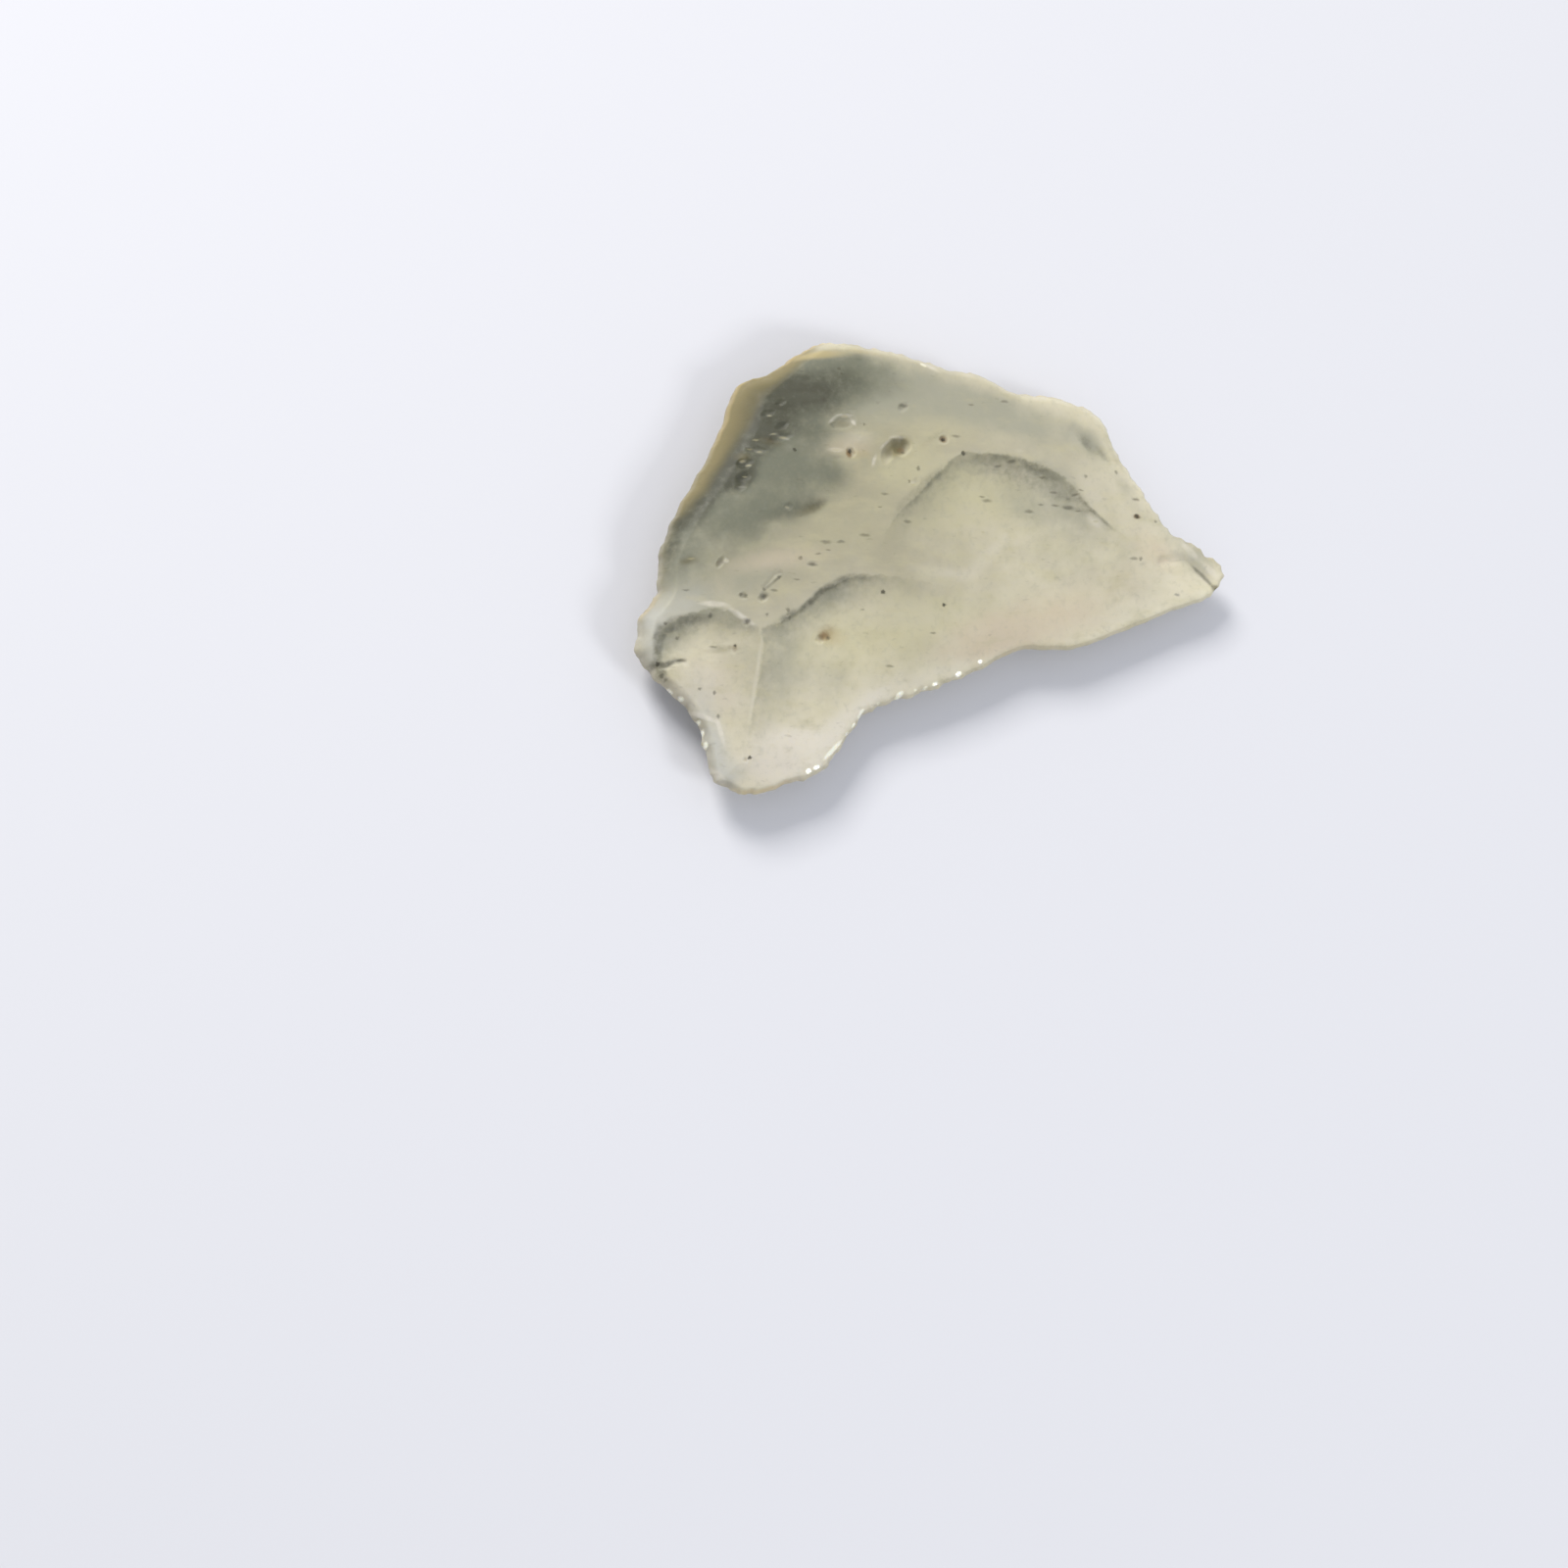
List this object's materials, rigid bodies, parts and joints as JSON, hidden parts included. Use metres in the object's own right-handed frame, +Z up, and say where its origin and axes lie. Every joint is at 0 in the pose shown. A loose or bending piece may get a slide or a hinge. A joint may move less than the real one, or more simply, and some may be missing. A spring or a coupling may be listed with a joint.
{
  "type": "raw desert glass stone",
  "caption": "Raw natural desert glass: a thin, wind-worn flake with scooped scars, a worn plateau, small pits and a chipped edge, lying flat.",
  "frame": {"origin": "middle of the box seen from above, at the height of the surface the stone lies on", "axes": "+X along the stone's length towards its sharp end, +Y towards its high worn edge, +Z up through its thickness"},
  "size_m": [0.033, 0.0212, 0.0041],
  "materials": {
    "desert_glass": "silky matt, wind-worn, milky and translucent, with shinier fresh chips along the edge"
  },
  "bodies": {
    "root": {"desert_glass": "desert_glass"}
  },
  "joints": []
}
